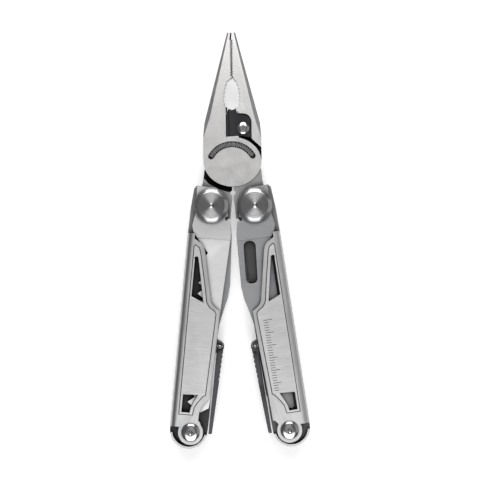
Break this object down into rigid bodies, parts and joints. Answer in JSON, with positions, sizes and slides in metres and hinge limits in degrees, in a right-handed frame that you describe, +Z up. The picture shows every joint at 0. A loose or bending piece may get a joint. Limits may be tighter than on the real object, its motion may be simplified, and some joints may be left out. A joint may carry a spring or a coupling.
{
  "type": "multi tool",
  "caption": "Folding pliers multi tool with wire cutters, two channel handles, swing-out blades, inner tools and rocking lock bars.",
  "frame": {"origin": "centre of the overall box in plan, on the plane that the back bolt heads rest on", "axes": "+Y towards the jaw tips, +X to the right seen from the front, +Z up through the thickness, towards the front face"},
  "size_m": [0.0554, 0.165, 0.0184],
  "materials": {
    "satin_steel": "satin, fine brushed",
    "tool_steel": "satin, cross brushed",
    "polished_steel": "bright, turned",
    "dark_steel": "dark satin",
    "black_oxide": "matt black oxide"
  },
  "bodies": {
    "front_jaw": {"jaw_front": "satin_steel", "jaw_pin": "polished_steel", "cutter_back": "black_oxide", "cutter_screw_back": "polished_steel"},
    "back_jaw": {"jaw_back": "satin_steel", "cutter_front": "black_oxide", "cutter_screw_front": "polished_steel"},
    "left_handle": {"left_frame": "satin_steel", "left_inlay_front": "satin_steel", "left_inlay_back": "satin_steel", "left_pivot_bolt": "polished_steel", "left_pivot_nut": "polished_steel", "left_end_bolt": "polished_steel", "left_end_nut": "polished_steel", "left_end_washer_upper": "polished_steel", "left_end_washer_lower": "polished_steel", "left_lock_pin": "polished_steel"},
    "saw_blade": {"saw_blade": "tool_steel"},
    "serrated_blade": {"serrated_blade": "tool_steel"},
    "can_opener": {"can_opener": "tool_steel"},
    "large_driver": {"large_driver": "tool_steel"},
    "bottle_opener": {"bottle_opener": "tool_steel"},
    "left_lock": {"left_lock_bar": "dark_steel"},
    "right_handle": {"right_frame": "satin_steel", "right_inlay_front": "satin_steel", "right_inlay_back": "satin_steel", "right_pivot_bolt": "polished_steel", "right_pivot_nut": "polished_steel", "right_end_bolt": "polished_steel", "right_end_nut": "polished_steel", "right_end_washer_upper": "polished_steel", "right_end_washer_lower": "polished_steel", "right_lock_pin": "polished_steel"},
    "plain_blade": {"plain_blade": "tool_steel"},
    "file_blade": {"file_blade": "tool_steel"},
    "cross_driver": {"cross_driver": "tool_steel"},
    "awl": {"awl": "tool_steel"},
    "small_driver": {"small_driver": "tool_steel"},
    "right_lock": {"right_lock_bar": "dark_steel"}
  },
  "joints": [
    {"name": "jaw_open", "type": "hinge", "parent": "front_jaw", "child": "back_jaw", "pos_m": [-0.00296, 0.03109, 0.0092], "axis": [0, 0, 1], "range_deg": [-35, 0]},
    {"name": "left_handle_fold", "type": "hinge", "parent": "back_jaw", "child": "left_handle", "pos_m": [-0.01131, 0.01359, 0.0092], "axis": [0, 0, -1], "range_deg": [0, 174]},
    {"name": "saw_blade_swing", "type": "hinge", "parent": "left_handle", "child": "saw_blade", "pos_m": [-0.01131, 0.01359, 0.0092], "axis": [0, 0, 1], "range_deg": [0, 8]},
    {"name": "serrated_blade_swing", "type": "hinge", "parent": "left_handle", "child": "serrated_blade", "pos_m": [-0.01131, 0.01359, 0.0092], "axis": [0, 0, 1], "range_deg": [0, 8]},
    {"name": "can_opener_swing", "type": "hinge", "parent": "left_handle", "child": "can_opener", "pos_m": [-0.01952, -0.07583, 0.0092], "axis": [0, 0, -1], "range_deg": [-180, 0]},
    {"name": "large_driver_swing", "type": "hinge", "parent": "left_handle", "child": "large_driver", "pos_m": [-0.01952, -0.07583, 0.0092], "axis": [0, 0, -1], "range_deg": [-180, 0]},
    {"name": "bottle_opener_swing", "type": "hinge", "parent": "left_handle", "child": "bottle_opener", "pos_m": [-0.01952, -0.07583, 0.0092], "axis": [0, 0, -1], "range_deg": [-180, 0]},
    {"name": "left_lock_rock", "type": "hinge", "parent": "left_handle", "child": "left_lock", "pos_m": [-0.00802, -0.04244, 0.0092], "axis": [0, 0, 1], "range_deg": [0, 4], "stiffness_Nm_per_rad": 0.2},
    {"name": "right_handle_fold", "type": "hinge", "parent": "front_jaw", "child": "right_handle", "pos_m": [0.00581, 0.01379, 0.0092], "axis": [0, 0, 1], "range_deg": [0, 171.8]},
    {"name": "plain_blade_swing", "type": "hinge", "parent": "right_handle", "child": "plain_blade", "pos_m": [0.00581, 0.01379, 0.0092], "axis": [0, 0, -1], "range_deg": [0, 8]},
    {"name": "file_blade_swing", "type": "hinge", "parent": "right_handle", "child": "file_blade", "pos_m": [0.00581, 0.01379, 0.0092], "axis": [0, 0, -1], "range_deg": [0, 8]},
    {"name": "cross_driver_swing", "type": "hinge", "parent": "right_handle", "child": "cross_driver", "pos_m": [0.01957, -0.07495, 0.0092], "axis": [0, 0, 1], "range_deg": [-180, 0]},
    {"name": "awl_swing", "type": "hinge", "parent": "right_handle", "child": "awl", "pos_m": [0.01957, -0.07495, 0.0092], "axis": [0, 0, 1], "range_deg": [-180, 0]},
    {"name": "small_driver_swing", "type": "hinge", "parent": "right_handle", "child": "small_driver", "pos_m": [0.01957, -0.07495, 0.0092], "axis": [0, 0, 1], "range_deg": [-180, 0]},
    {"name": "right_lock_rock", "type": "hinge", "parent": "right_handle", "child": "right_lock", "pos_m": [0.00601, -0.04234, 0.0092], "axis": [0, 0, -1], "range_deg": [0, 4], "stiffness_Nm_per_rad": 0.2}
  ]
}
